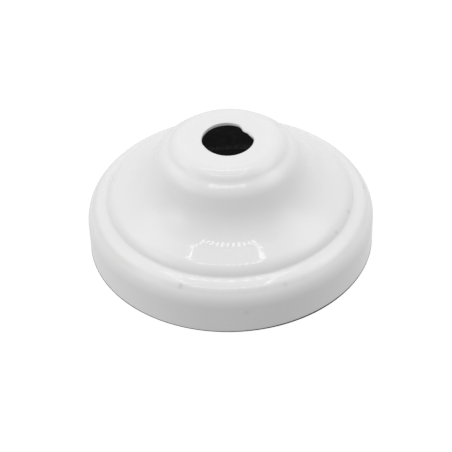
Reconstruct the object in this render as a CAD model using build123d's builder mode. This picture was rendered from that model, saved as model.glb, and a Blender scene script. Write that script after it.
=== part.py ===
from build123d import *

# Bell-shaped ceiling canopy, pressed from one round blank of steel sheet.
#
# The canopy stands on its open rim with the boss up. The origin is the centre
# of the rim, on the plane of its cut edge, and +Z runs up through the hole in
# the boss. In use the rim closes against the ceiling, and the threaded tube or
# the cord of the pendant passes through that hole.
#
# The outside of the sheet is a chain of straight runs and arcs, each tangent
# to the next. Slopes are degrees below the horizontal, going outwards: 0 is
# the flat land round the hole and 90 is the upright rim wall. The inside is
# the same chain one sheet thickness in, so the sheet is as thick everywhere.

import os
from math import cos, radians, sin

# ---- driving dimensions, mm ---------------------------------------------
rim_dia = 60.0  # outside of the upright rim wall
height = 25.4  # rim edge to the flat land round the hole
sheet = 0.8  # steel sheet with its enamel
hole_dia = 11.0  # clears a 10 mm threaded tube
hole_edge = 0.15  # enamel rounds both edges of the punched hole
rim_edge = 0.2  # and both edges of the trimmed rim

land_r = 9.1  # the flat land round the hole ends here

crown_rad, crown_slope = 3.8, 49.5  # the boss rolls over
neck_rad, neck_slope = 3.3, 33.0  # shallow hollow below the crown
neck_run = 0.45  # straight run between the hollow and the bead
bead_rad, bead_slope = 4.83, 62.2  # bead round the boss
flank_run = 2.26  # straight run below the bead
flank_rad, flank_slope = 12.45, 25.3  # long hollow flank of the bell
step_rad, step_slope = 3.9, 64.5  # the flank turns down into the step
crease_rad, crease_slope = 0.75, 8.5  # tight crease at the foot of the step
shoulder_rad = 4.45  # the shoulder rolls over into the rim wall
wall_slope = 90.0

# ---- the arcs of the outside, from the land to the rim -------------------
# (slope at the start, slope at the end, outside radius; + turns down, - up)
arcs = {
    "crown": (0.0, crown_slope, +crown_rad),
    "neck": (crown_slope, neck_slope, -neck_rad),
    "bead": (neck_slope, bead_slope, +bead_rad),
    "flank": (bead_slope, flank_slope, -flank_rad),
    "step": (flank_slope, step_slope, +step_rad),
    "crease": (step_slope, crease_slope, -crease_rad),
    "shoulder": (crease_slope, wall_slope, +shoulder_rad),
}


def reach(name):
    """How far an arc of the chain goes outwards."""
    start, end, rad = arcs[name]
    return rad * (sin(radians(end)) - sin(radians(start)))


# the straight run above the step takes what is left of the radius
apron_run = (
    rim_dia / 2
    - land_r
    - sum(reach(name) for name in arcs)
    - neck_run * cos(radians(neck_slope))
    - flank_run * cos(radians(bead_slope))
) / cos(radians(flank_slope))


def heading(slope):
    """Unit vector outwards and down at a slope."""
    return Vector(cos(radians(slope)), -sin(radians(slope)))


def straight(at, slope, length):
    """A straight run; gives its end."""
    return Line(at, at + heading(slope) * length) @ 1


def bend(at, name, depth):
    """An arc of the chain, depth inside the outer skin; gives its end."""
    start, end, rad = arcs[name]
    own = rad - depth if rad > 0 else -rad + depth
    return JernArc(at, heading(start), own, start - end) @ 1


def skin(depth):
    """The chain from the hole to the rim edge, depth inside the outer skin."""
    hole = Vector(hole_dia / 2, height - depth)
    at = Line(hole, (land_r, height - depth)) @ 1
    at = bend(at, "crown", depth)
    at = bend(at, "neck", depth)
    at = straight(at, neck_slope, neck_run)
    at = bend(at, "bead", depth)
    at = straight(at, bead_slope, flank_run)
    at = bend(at, "flank", depth)
    at = straight(at, flank_slope, apron_run)
    at = bend(at, "step", depth)
    at = bend(at, "crease", depth)
    at = bend(at, "shoulder", depth)
    foot = Line(at, (at.X, 0)) @ 1
    return hole, at, foot


# ---- canopy: one sheet, turned from its half section ----------------------
with BuildPart() as canopy:
    with BuildSketch(Plane.XZ) as section:
        with BuildLine() as outline:
            hole_top, wall_top, foot_out = skin(0.0)
            hole_low, _, foot_in = skin(sheet)
            Line(hole_top, hole_low)
            Line(foot_out, foot_in)
        make_face()
        fillet(section.vertices().group_by(Axis.X)[0], hole_edge)
        fillet(section.vertices().group_by(Axis.Y)[0], rim_edge)
    revolve(axis=Axis.Z)
canopy.part.label = "canopy"

os.makedirs("parts", exist_ok=True)
export_step(canopy.part, "parts/canopy.step")

box = canopy.part.bounding_box()
print("wall radius", round(foot_out.X, 4), "wall top", round(wall_top.Y, 3))
print("run above the step", round(apron_run, 3))
print("size", [round(v, 3) for v in box.size], "lowest", round(box.min.Z, 4))
print("volume", round(canopy.part.volume, 1), "mm3")
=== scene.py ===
"""Looks of the bell-shaped ceiling canopy: one enamelled sheet-steel pressing.

Everything is in metres in the model's own frame: the canopy stands on its open
rim, its axis is Z, and the front of the picture is -Y.
"""

import math

import bpy
from mathutils import Matrix, Vector, noise


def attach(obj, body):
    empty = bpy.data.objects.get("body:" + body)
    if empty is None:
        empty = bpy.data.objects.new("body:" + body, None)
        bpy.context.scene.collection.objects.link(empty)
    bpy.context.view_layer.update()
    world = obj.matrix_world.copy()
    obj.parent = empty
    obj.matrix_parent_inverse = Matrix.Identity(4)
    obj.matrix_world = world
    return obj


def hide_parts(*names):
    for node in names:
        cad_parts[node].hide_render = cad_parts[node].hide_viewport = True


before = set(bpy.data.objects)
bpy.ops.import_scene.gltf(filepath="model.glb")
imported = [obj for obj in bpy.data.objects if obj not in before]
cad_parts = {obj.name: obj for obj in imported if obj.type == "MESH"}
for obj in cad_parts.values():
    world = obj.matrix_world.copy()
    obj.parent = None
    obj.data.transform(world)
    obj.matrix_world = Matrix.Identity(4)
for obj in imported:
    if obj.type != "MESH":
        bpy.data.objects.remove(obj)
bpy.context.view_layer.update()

MM = 0.001

# ---------------------------------------------------------------------------
# the half section, in mm: the same chain of runs and arcs as the pressing
# ---------------------------------------------------------------------------
RIM_R, HEIGHT, SHEET, HOLE_R = 30.0, 25.4, 0.8, 5.5
HOLE_EDGE, RIM_EDGE = 0.15, 0.2
LAND_R = 9.1
# slope at the start, slope at the end, radius (+ turns down, - turns up)
CROWN = (0.0, 49.5, 3.8)
NECK = (49.5, 33.0, -3.3)
NECK_RUN = 0.45
BEAD = (33.0, 62.2, 4.83)
FLANK_RUN = 2.26
FLANK = (62.2, 25.3, -12.45)
STEP = (25.3, 64.5, 3.9)
CREASE = (64.5, 8.5, -0.75)
SHOULDER = (8.5, 90.0, 4.45)


def reach(arc):
    a, b, rad = arc
    return rad * (math.sin(math.radians(b)) - math.sin(math.radians(a)))


APRON_RUN = (
    RIM_R
    - LAND_R
    - sum(reach(a) for a in (CROWN, NECK, BEAD, FLANK, STEP, CREASE, SHOULDER))
    - NECK_RUN * math.cos(math.radians(NECK[1]))
    - FLANK_RUN * math.cos(math.radians(BEAD[1]))
) / math.cos(math.radians(FLANK[1]))


def skin(depth, pitch):
    """Points (r, z) and slopes of the skin, depth mm inside the outside, from the hole to the rim."""
    pts = []
    r, z = HOLE_R + HOLE_EDGE, HEIGHT - depth

    def put(slope):
        pts.append((r, z, slope))

    def run(slope, length, every):
        nonlocal r, z
        n = max(1, round(length / every))
        for _ in range(n):
            r += length / n * math.cos(math.radians(slope))
            z -= length / n * math.sin(math.radians(slope))
            put(slope)

    def bend(arc, every):
        nonlocal r, z
        a, b, rad = arc
        own = rad - depth
        n = max(3, round(abs(own) * math.radians(abs(b - a)) / every))
        r0, z0 = r, z
        for i in range(1, n + 1):
            s = a + (b - a) * i / n
            r = r0 + own * (math.sin(math.radians(s)) - math.sin(math.radians(a)))
            z = z0 - own * (math.cos(math.radians(a)) - math.cos(math.radians(s)))
            put(s)

    put(0.0)
    run(0.0, LAND_R - r, pitch)
    bend(CROWN, pitch)
    bend(NECK, pitch)
    run(NECK[1], NECK_RUN, pitch)
    bend(BEAD, pitch)
    run(BEAD[1], FLANK_RUN, pitch)
    bend(FLANK, pitch)
    run(FLANK[1], APRON_RUN, pitch)
    bend(STEP, pitch)
    bend(CREASE, pitch * 0.35)
    bend(SHOULDER, pitch * 0.9)
    run(90.0, z - RIM_EDGE, pitch * 1.25)
    return pts


def corner(cx, cz, rad, a0, a1, n):
    """Points round a rounded edge, without its two ends. Angles are of the outward normal."""
    out = []
    for i in range(1, n):
        a = math.radians(a0 + (a1 - a0) * i / n)
        out.append((cx + rad * math.cos(a), cz + rad * math.sin(a), a))
    return out


OUTSIDE, INSIDE, RIM, BORE = 0, 1, 2, 3


def section():
    """The closed half section: rows of r, z, normal r, normal z and which side it is."""
    rows = []
    for r, z, s in skin(0.0, 0.27):
        a = math.radians(90 - s)
        rows.append((r, z, math.cos(a), math.sin(a), OUTSIDE))
    inner_r = RIM_R - SHEET
    for x, z, a in corner(RIM_R - RIM_EDGE, RIM_EDGE, RIM_EDGE, 0, -90, 4):
        rows.append((x, z, math.cos(a), math.sin(a), RIM))
    rows.append((RIM_R - RIM_EDGE, 0.0, 0.0, -1.0, RIM))
    rows.append((RIM_R - SHEET / 2, 0.0, 0.0, -1.0, RIM))
    rows.append((inner_r + RIM_EDGE, 0.0, 0.0, -1.0, RIM))
    for x, z, a in corner(inner_r + RIM_EDGE, RIM_EDGE, RIM_EDGE, -90, -180, 4):
        rows.append((x, z, math.cos(a), math.sin(a), RIM))
    for r, z, s in reversed(skin(SHEET, 0.42)):
        a = math.radians(270 - s)
        rows.append((r, z, math.cos(a), math.sin(a), INSIDE))
    low = HEIGHT - SHEET
    for x, z, a in corner(HOLE_R + HOLE_EDGE, low + HOLE_EDGE, HOLE_EDGE, 270, 180, 4):
        rows.append((x, z, math.cos(a), math.sin(a), BORE))
    for f in (0.0, 0.2, 0.4, 0.6, 0.8, 1.0):
        rows.append((HOLE_R, low + HOLE_EDGE + f * (SHEET - 2 * HOLE_EDGE), -1.0, 0.0, BORE))
    for x, z, a in corner(HOLE_R + HOLE_EDGE, HEIGHT - HOLE_EDGE, HOLE_EDGE, 180, 90, 6):
        rows.append((x, z, math.cos(a), math.sin(a), BORE))
    return rows


SEGMENTS = 360


def crease_place():
    """Middle of the crease on the outside, mm."""
    low = math.radians((CREASE[0] + CREASE[1]) / 2)
    best = None
    for r, z, s in skin(0.0, 0.05):
        if abs(math.radians(s) - low) < 0.03 and r > 24.0:
            best = (r, z) if best is None or abs(s - math.degrees(low)) < best[2] else best
            best = (best[0], best[1], abs(s - math.degrees(low)))
    return best[0], best[1]


CREASE_AT = crease_place()


def ease(x, a, b):
    """0 below a, 1 above b, smooth between."""
    t = min(1.0, max(0.0, (x - a) / (b - a)))
    return t * t * (3 - 2 * t)


def waves(x, y, z, scale, seed):
    """Smooth noise of one wavelength, about -1 to 1, over the surface in mm."""
    return 1.6 * noise.noise(Vector((x / scale + seed, y / scale - seed, z / scale + 0.5 * seed)))


def unevenness(x, y, z):
    """How far the pressing lies inside its true form, mm: faint waves left by the tool."""
    w = 0.7 * waves(x, y, z, 9.0, 3.7) + 0.3 * waves(x, y, z, 4.5, 11.3)
    return 0.008 + 0.006 * (1.0 + max(-1.0, min(1.0, w)))


def lip(deg):
    """How far a thick run of enamel hangs into the hole, mm. It swells at the back and thins out to the front."""
    run = 0.62 * ease(deg, -4, 19) + 0.46 * ease(deg, 14, 46)
    nib = 0.09 * math.exp(-(((deg - 20) / 3.0) ** 2)) + 0.04 * math.sin(math.radians(11 * deg + 40))
    body = (run + nib * ease(deg, 4, 14)) * (1 - ease(deg, 43.0, 66.0))
    tail = 0.30 * ease(deg, 40, 60) * (1 - ease(deg, 60.0, 98.0))
    return body + tail * (1 - min(1.0, body))


def drip(depth):
    """Form of that run down the thickness of the sheet: round from the top, then back under."""
    full = math.sqrt(max(0.0, 1.0 - (1.0 - min(1.0, depth / 0.5)) ** 2))
    return 0.12 + 0.88 * full - 0.5 * ease(depth, 0.5, SHEET)


def punch(deg):
    """How far the punched edge steps in, mm: a small step at the left, in a hole a little out of round."""
    step = ease(deg, 196, 205) * (1 - 0.55 * ease(deg, 215, 290)) * (1 - ease(deg, 300, 350))
    a = math.radians(deg)
    oval = 0.17 * math.cos(a) ** 2 - 0.10 * max(0.0, -math.sin(a)) ** 2
    return 0.13 * step + oval + 0.012 * math.sin(math.radians(5 * deg + 10)) + 0.006


def pool(r, z):
    """How far the enamel gathers in the crease, mm, so that it reads softer than the pressed form."""
    away = math.hypot(r - CREASE_AT[0], z - CREASE_AT[1])
    return 0.045 * math.exp(-((away / 0.6) ** 2))


def lift(deg):
    """How far the trimmed rim stands off the table, mm. It touches at three places."""
    off = (deg - 303 + 180) % 360 - 180
    low_right = math.exp(-((off / 25.0) ** 2))
    wave = 0.5 - 0.5 * math.cos(math.radians(3 * deg))
    return 0.18 * low_right + 0.03 * wave * (1 - low_right)


# ---------------------------------------------------------------------------
# the canopy
# ---------------------------------------------------------------------------
def build_canopy():
    rows = section()
    m = len(rows)
    verts, faces, coat = [], [], []
    wall_foot = 3.0
    for i in range(SEGMENTS):
        t = 2 * math.pi * i / SEGMENTS
        deg = math.degrees(t)
        c, s = math.cos(t), math.sin(t)
        run_in, step_in, up = lip(deg), punch(deg), lift(deg)
        for r, z, nr, nz, side in rows:
            # the same waves on both skins, so that the sheet keeps its thickness
            out_r, out_z = (r, z) if side != INSIDE else (r - SHEET * nr, z - SHEET * nz)
            d = unevenness(out_r * c, out_r * s, out_z)
            if side == OUTSIDE:
                d -= pool(r, z)
            sign = 1.0 if side == INSIDE else -1.0
            if side in (OUTSIDE, INSIDE):
                rr, zz = r + sign * nr * d, z + sign * nz * d
            elif side == RIM:
                rr, zz = r - d, z
            else:
                rr, zz = r, z - d
            # the edge of the hole
            depth = HEIGHT - z
            near = 1.0 if side == BORE else 1 - ease(r, HOLE_R + HOLE_EDGE, HOLE_R + 1.4)
            if near > 0 and r < HOLE_R + 1.5:
                rr -= near * (step_in + run_in * (drip(depth) if side != INSIDE else 0.5))
            # the rim, trimmed a little out of flat
            if z < wall_foot:
                zz += up * (1 - ease(z, 0.0, wall_foot))
            x, y = rr * c, rr * s
            # the boss stands a little off the centre of the rim
            x -= 0.15 * max(0.0, z - 7.0) / 18.0
            verts.append((x * MM, y * MM, zz * MM))
            # 1 where the enamel is full, less on the inside of the bell
            if side == INSIDE:
                drift = 2.2 * waves(x, y, z, 7.0, 21.0)
                spray = max(1 - ease(z + 0.3 * drift, 0.3, 2.6), 1 - ease(r + 0.3 * drift, HOLE_R, HOLE_R + 1.6))
                coat.append(0.42 * spray)
            elif side == BORE:
                coat.append(1.0 - 0.25 * ease(depth, 0.3, SHEET))
            elif side == RIM:
                coat.append(1.0 if r > RIM_R - SHEET / 2 else 0.8)
            else:
                coat.append(1.0)
    for i in range(SEGMENTS):
        a, b = i * m, ((i + 1) % SEGMENTS) * m
        for j in range(m):
            k = (j + 1) % m
            faces.append((a + j, a + k, b + k, b + j))
    mesh = bpy.data.meshes.new("canopy_shell")
    mesh.from_pydata(verts, [], faces)
    mesh.validate()
    mesh.update()
    mesh.shade_smooth()
    layer = mesh.attributes.new("coat", "FLOAT", "POINT")
    layer.data.foreach_set("value", coat)
    obj = bpy.data.objects.new("canopy_shell", mesh)
    bpy.context.scene.collection.objects.link(obj)
    return obj


# ---------------------------------------------------------------------------
# the enamel
# ---------------------------------------------------------------------------
def material(name):
    mat = bpy.data.materials.new(name)
    mat.use_nodes = True
    nt = mat.node_tree
    nt.nodes.clear()
    out = nt.nodes.new("ShaderNodeOutputMaterial")
    return mat, nt, out


class Nodes:
    """Short calls for making a node tree."""

    def __init__(self, nt):
        self.nt = nt

    def put(self, kind, socket, value):
        if value is None:
            return
        if isinstance(value, bpy.types.NodeSocket):
            self.nt.links.new(value, socket)
        else:
            socket.default_value = value

    def math(self, op, a, b=None, c=None, clamp=False):
        node = self.nt.nodes.new("ShaderNodeMath")
        node.operation = op
        node.use_clamp = clamp
        for socket, value in zip(node.inputs, (a, b, c)):
            self.put("math", socket, value)
        return node.outputs[0]

    def vmath(self, op, a, b=None):
        node = self.nt.nodes.new("ShaderNodeVectorMath")
        node.operation = op
        for socket, value in zip(node.inputs, (a, b)):
            self.put("vector", socket, value)
        return node.outputs["Value"] if op in ("LENGTH", "DISTANCE", "DOT_PRODUCT") else node.outputs["Vector"]

    def ramp(self, value, a, b, lo=0.0, hi=1.0, smooth=True):
        node = self.nt.nodes.new("ShaderNodeMapRange")
        node.interpolation_type = "SMOOTHSTEP" if smooth else "LINEAR"
        self.put("value", node.inputs["Value"], value)
        node.inputs["From Min"].default_value = a
        node.inputs["From Max"].default_value = b
        node.inputs["To Min"].default_value = lo
        node.inputs["To Max"].default_value = hi
        return node.outputs["Result"]

    def noise(self, vector, scale, detail=2.0, rough=0.5):
        node = self.nt.nodes.new("ShaderNodeTexNoise")
        node.inputs["Scale"].default_value = scale
        node.inputs["Detail"].default_value = detail
        node.inputs["Roughness"].default_value = rough
        self.nt.links.new(vector, node.inputs["Vector"])
        return node.outputs["Fac"]

    def mix(self, factor, a, b):
        node = self.nt.nodes.new("ShaderNodeMix")
        node.data_type = "RGBA"
        self.put("f", node.inputs["Factor"], factor)
        self.put("a", node.inputs["A"], a)
        self.put("b", node.inputs["B"], b)
        return node.outputs["Result"]


# small marks in the enamel: place in mm, radius in mm, how strong
MARKS = (
    ((-10.36, -26.47, 9.59), 0.60, 0.17),
    ((10.27, -26.76, 9.37), 0.50, 0.10),
    ((2.42, -29.90, 5.07), 0.55, 0.10),
    ((24.15, -7.62, 11.45), 0.60, 0.16),
    ((21.21, -13.97, 11.40), 0.45, 0.14),
    ((28.20, 2.22, 9.70), 0.45, 0.12),
)


def enamel():
    mat, nt, out = material("white_enamel")
    n = Nodes(nt)
    bsdf = nt.nodes.new("ShaderNodeBsdfPrincipled")
    nt.links.new(bsdf.outputs["BSDF"], out.inputs["Surface"])
    bsdf.inputs["IOR"].default_value = 1.52
    place = nt.nodes.new("ShaderNodeTexCoord").outputs["Object"]
    coat = nt.nodes.new("ShaderNodeAttribute")
    coat.attribute_name = "coat"
    coat = coat.outputs["Fac"]

    # the white is a little thinner in soft patches
    patch = n.ramp(n.noise(place, 55.0, 2.0, 0.5), 0.35, 0.65)
    white = n.mix(patch, (0.785, 0.787, 0.785, 1), (0.802, 0.803, 0.801, 1))
    # fine dust specks, few and small
    speck = n.ramp(n.noise(place, 1900.0, 1.0, 0.4), 0.80, 0.86)
    white = n.mix(n.math("MULTIPLY", speck, 0.10), white, (0.35, 0.34, 0.32, 1))
    # painted shade: the white darkened in a noisy band in the crease at the foot of the step, where the shade
    # falls; the same band also roughens the gloss
    split = nt.nodes.new("ShaderNodeSeparateXYZ")
    nt.links.new(place, split.inputs[0])
    flat = nt.nodes.new("ShaderNodeCombineXYZ")
    nt.links.new(split.outputs["X"], flat.inputs["X"])
    nt.links.new(split.outputs["Y"], flat.inputs["Y"])
    radius = n.vmath("LENGTH", flat.outputs[0])
    ring = nt.nodes.new("ShaderNodeCombineXYZ")
    nt.links.new(radius, ring.inputs["X"])
    nt.links.new(split.outputs["Z"], ring.inputs["Z"])
    off = n.vmath("DISTANCE", ring.outputs[0], ((CREASE_AT[0] + 0.4) * MM, 0.0, (CREASE_AT[1] - 0.1) * MM))
    band = n.ramp(off, 0.0002, 0.0010, 1.0, 0.0)
    crease_shade = n.ramp(n.noise(place, 170.0, 3.0, 0.55), 0.40, 0.80)
    crease_shade = n.math("MULTIPLY", band, n.math("MULTIPLY_ADD", crease_shade, 0.08, 0.07))
    white = n.mix(crease_shade, white, (0.42, 0.41, 0.39, 1))
    # single marks
    pits = None
    for at, rad, strength in MARKS:
        d = n.vmath("DISTANCE", place, tuple(v * MM for v in at))
        spot = n.ramp(d, rad * 0.1 * MM, rad * 1.5 * MM, 1.0, 0.0)
        white = n.mix(n.math("MULTIPLY", spot, strength), white, (0.12, 0.115, 0.11, 1))
        pits = spot if pits is None else n.math("MAXIMUM", pits, spot)
    # dull sheet where the inside got only drift from the spray
    steel = n.ramp(n.noise(place, 420.0, 4.0, 0.6), 0.3, 0.7)
    steel = n.mix(steel, (0.15, 0.15, 0.155, 1), (0.22, 0.22, 0.22, 1))
    grain = n.noise(place, 2600.0, 2.0, 0.6)
    covered = n.ramp(n.math("ADD", coat, n.math("MULTIPLY_ADD", grain, 0.5, -0.25)), 0.25, 0.75)
    nt.links.new(n.mix(covered, steel, white), bsdf.inputs["Base Color"])

    # gloss: even outside, with a breath of haze in patches, dull inside
    haze = n.noise(place, 130.0, 3.0, 0.55)
    gloss = n.math("MULTIPLY_ADD", haze, 0.025, 0.03)
    gloss = n.math("ADD", gloss, n.math("MULTIPLY", crease_shade, 0.6))
    dull = n.math("SUBTRACT", 1.0, coat)
    rough = n.math("MULTIPLY_ADD", dull, 0.45, gloss, clamp=True)
    nt.links.new(rough, bsdf.inputs["Roughness"])

    # relief: orange peel of the enamel, the pits, and the dry spray inside
    peel = n.noise(place, 620.0, 1.0, 0.4)
    fine = n.noise(place, 3200.0, 2.0, 0.5)
    height = n.math("MULTIPLY", peel, 0.0000008)
    height = n.math("SUBTRACT", height, n.math("MULTIPLY", pits, 0.000006))
    height = n.math("ADD", height, n.math("MULTIPLY", n.math("MULTIPLY", fine, dull), 0.00002))
    bump = nt.nodes.new("ShaderNodeBump")
    bump.inputs["Strength"].default_value = 1.0
    bump.inputs["Distance"].default_value = 1.0
    nt.links.new(height, bump.inputs["Height"])
    nt.links.new(bump.outputs["Normal"], bsdf.inputs["Normal"])
    return mat


canopy = build_canopy()
canopy.data.materials.append(enamel())
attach(canopy, "root")
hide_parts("canopy")

# ---------------------------------------------------------------------------
# the table: a plain white sweep, seen only by the camera, so that the light on
# the enamel is the tent's alone, and a painted shadow: a near-black disc under the open rim
# ---------------------------------------------------------------------------
def plate(name, verts, faces):
    mesh = bpy.data.meshes.new(name)
    mesh.from_pydata(verts, [], faces)
    obj = bpy.data.objects.new(name, mesh)
    bpy.context.scene.collection.objects.link(obj)
    return obj


floor = plate("studio_floor", [(-3, -3, 0), (3, -3, 0), (3, 3, 0), (-3, 3, 0)], [(0, 1, 2, 3)])
floor.location.z = -0.00004
mat, nt, out = material("pale_floor")
diff = nt.nodes.new("ShaderNodeBsdfDiffuse")
diff.inputs["Color"].default_value = (0.3, 0.3, 0.3, 1)
emit = nt.nodes.new("ShaderNodeEmission")
emit.name = "floor_lift"
emit.inputs["Strength"].default_value = 0.78
add = nt.nodes.new("ShaderNodeAddShader")
nt.links.new(diff.outputs[0], add.inputs[0])
nt.links.new(emit.outputs[0], add.inputs[1])
nt.links.new(add.outputs[0], out.inputs["Surface"])
floor.data.materials.append(mat)
floor.visible_diffuse = False
floor.visible_glossy = False
floor.visible_shadow = False

# painted shadow: this disc stands in for the shade inside the bell and the contact shadow along the rim, and its
# faint emission is a painted glow on the inside
ROUND = 30.0 * MM
ring = [(ROUND * math.cos(2 * math.pi * i / 256), ROUND * math.sin(2 * math.pi * i / 256), 0.0) for i in range(256)]
under = plate("painted_shadow_disc", ring, [tuple(range(256))])
under.location.z = -0.00002
mat, nt, out = material("painted_shade_black")
diff = nt.nodes.new("ShaderNodeBsdfDiffuse")
diff.inputs["Color"].default_value = (0.04, 0.04, 0.04, 1)
# painted glow: a faint emission on the painted-shadow disc
emit = nt.nodes.new("ShaderNodeEmission")
emit.name = "painted_glow"
emit.inputs["Strength"].default_value = 0.006
add = nt.nodes.new("ShaderNodeAddShader")
nt.links.new(diff.outputs[0], add.inputs[0])
nt.links.new(emit.outputs[0], add.inputs[1])
nt.links.new(add.outputs[0], out.inputs["Surface"])
under.data.materials.append(mat)

# ---------------------------------------------------------------------------
# light: a white tent round the object, as smooth lobes of the world, and a
# square frame of small lamps above it
# ---------------------------------------------------------------------------
def unit(azimuth, elevation):
    """Direction by azimuth (0 is +X, 90 is +Y) and elevation, degrees."""
    a, e = math.radians(azimuth), math.radians(elevation)
    return (math.cos(a) * math.cos(e), math.sin(a) * math.cos(e), math.sin(e))


# direction the light comes from, sharpness, strength
LOBES = {
    "all": ((0, 0, 1), 0, 0.321),
    "up1": ((0, 0, 1), 1, 0.655),
    "down1": ((0, 0, -1), 1, 0.217),
    "low0": (unit(0, 12), 4, 0.223),
    "low45": (unit(45, 12), 4, 0.293),
    "low90": (unit(90, 12), 4, 0.233),
    "low135": (unit(135, 12), 4, 0.225),
    "low180": (unit(180, 12), 4, 0.260),
    "low225": (unit(225, 12), 4, 0.177),
    "mid0": (unit(0, 45), 8, 0.058),
    "mid45": (unit(45, 45), 8, 0.057),
    "mid90": (unit(90, 45), 8, 0.016),
    "mid135": (unit(135, 45), 8, 0.051),
    "mid180": (unit(180, 45), 8, 0.095),
    "mid225": (unit(225, 45), 8, 0.087),
    "mid270": (unit(270, 45), 8, 0.010),
    "und0": (unit(0, -25), 4, 0.204),
    "und45": (unit(45, -25), 4, 0.289),
    "und90": (unit(90, -25), 4, 0.267),
    "und135": (unit(135, -25), 4, 0.257),
    "und180": (unit(180, -25), 4, 0.271),
    "und225": (unit(225, -25), 4, 0.177),
    "ha": (unit(3, 45), 40, 1.411),
    "hb": (unit(348, 33), 40, 0.826),
    "hc": (unit(197, 33), 40, 1.648),
    "hd": (unit(165, 37), 40, 1.021),
    "he": (unit(27, 53), 40, 1.031),
    "hf": (unit(153, 53), 40, 0.645),
    "hg": (unit(338, 47), 60, 0.450),
}


def make_world(lobes):
    world = bpy.data.worlds.new("tent")
    bpy.context.scene.world = world
    world.use_nodes = True
    nt = world.node_tree
    nt.nodes.clear()
    n = Nodes(nt)
    out = nt.nodes.new("ShaderNodeOutputWorld")
    coord = nt.nodes.new("ShaderNodeTexCoord").outputs["Generated"]
    total = None
    for name, (axis, power, strength) in lobes.items():
        if power == 0:
            term = n.math("ADD", strength, 0.0)
        else:
            facing = n.math("MAXIMUM", n.vmath("DOT_PRODUCT", coord, axis), 0.0)
            term = n.math("MULTIPLY", n.math("POWER", facing, power), strength)
        total = term if total is None else n.math("ADD", total, term)
    tent = nt.nodes.new("ShaderNodeBackground")
    nt.links.new(total, tent.inputs["Strength"])
    # behind the object the tent is plain white
    white = nt.nodes.new("ShaderNodeBackground")
    white.inputs["Strength"].default_value = 1.05
    seen = nt.nodes.new("ShaderNodeLightPath")
    mix = nt.nodes.new("ShaderNodeMixShader")
    nt.links.new(seen.outputs["Is Camera Ray"], mix.inputs[0])
    nt.links.new(tent.outputs[0], mix.inputs[1])
    nt.links.new(white.outputs[0], mix.inputs[2])
    nt.links.new(mix.outputs[0], out.inputs["Surface"])
    return world


make_world(LOBES)

LAMPS = 11  # a side
LAMP_HALF, LAMP_Z, LAMP_X, LAMP_TURN = (0.117, 0.107), 0.36, -0.007, 2.0
LAMP_SIDES = (-0.115, 0.093)  # the left and the right row
LAMP_WIDE, LAMP_LONG = 0.0095, (0.045, 0.018)  # along the row; across it, front and back, then the sides
LAMP_POWER = 4.90
verts, faces = [], []
ct, st = math.cos(math.radians(LAMP_TURN)), math.sin(math.radians(LAMP_TURN))
for side in range(4):
    for i in range(LAMPS):
        u = -1 + 2 * i / LAMPS
        x, y = [(u, -1), (1, u), (-u, 1), (-1, -u)][side]
        cx, cy = x * LAMP_HALF[0], y * LAMP_HALF[1]
        hx, hy = LAMP_WIDE / 2, LAMP_LONG[0] / 2
        if side % 2:
            cx, hx, hy = LAMP_SIDES[x > 0], LAMP_LONG[1] / 2, LAMP_WIDE / 2
        k = len(verts)
        for a, b in ((-1, -1), (-1, 1), (1, 1), (1, -1)):
            px, py = cx + a * hx, cy + b * hy
            verts.append((LAMP_X + px * ct - py * st, px * st + py * ct, LAMP_Z))
        faces.append((k, k + 1, k + 2, k + 3))
lamps = plate("lamp_frame", verts, faces)
mat, nt, out = material("lamp_glow")
emit = nt.nodes.new("ShaderNodeEmission")
emit.name = "lamp"
emit.inputs["Strength"].default_value = LAMP_POWER
nt.links.new(emit.outputs[0], out.inputs["Surface"])
lamps.data.materials.append(mat)
lamps.visible_camera = False

# what little light gets about inside the bell
glow = bpy.data.lights.new("inside_glow", "POINT")
glow.energy = 0.0008
glow.shadow_soft_size = 0.0
glow = bpy.data.objects.new("inside_glow", glow)
glow.location = (0.0, 0.002, 0.011)
bpy.context.scene.collection.objects.link(glow)

# ---------------------------------------------------------------------------
# camera
# ---------------------------------------------------------------------------
CAM_DIST, CAM_ELEV, CAM_ROLL = 0.322855, 40.694, 1.783
CAM_TARGET = Vector((-0.00106, 0.002364, 0.0))
cam_data = bpy.data.cameras.new("camera")
cam = bpy.data.objects.new("camera", cam_data)
bpy.context.scene.collection.objects.link(cam)
e, r = math.radians(CAM_ELEV), math.radians(CAM_ROLL)
fwd = Vector((0, math.cos(e), -math.sin(e)))
x_axis, y_axis = Vector((1, 0, 0)), Vector((0, math.sin(e), math.cos(e)))
right = math.cos(r) * x_axis - math.sin(r) * y_axis
up = math.sin(r) * x_axis + math.cos(r) * y_axis
cam.matrix_world = Matrix.Translation(CAM_TARGET - CAM_DIST * fwd) @ Matrix((right, up, -fwd)).transposed().to_4x4()
cam_data.sensor_width = 36.0
cam_data.lens = 36.0 * 1500 / 452
cam_data.clip_start, cam_data.clip_end = 0.01, 20.0
bpy.context.scene.camera = cam

scene = bpy.context.scene
scene.view_settings.view_transform = "Standard"
scene.view_settings.look = "None"
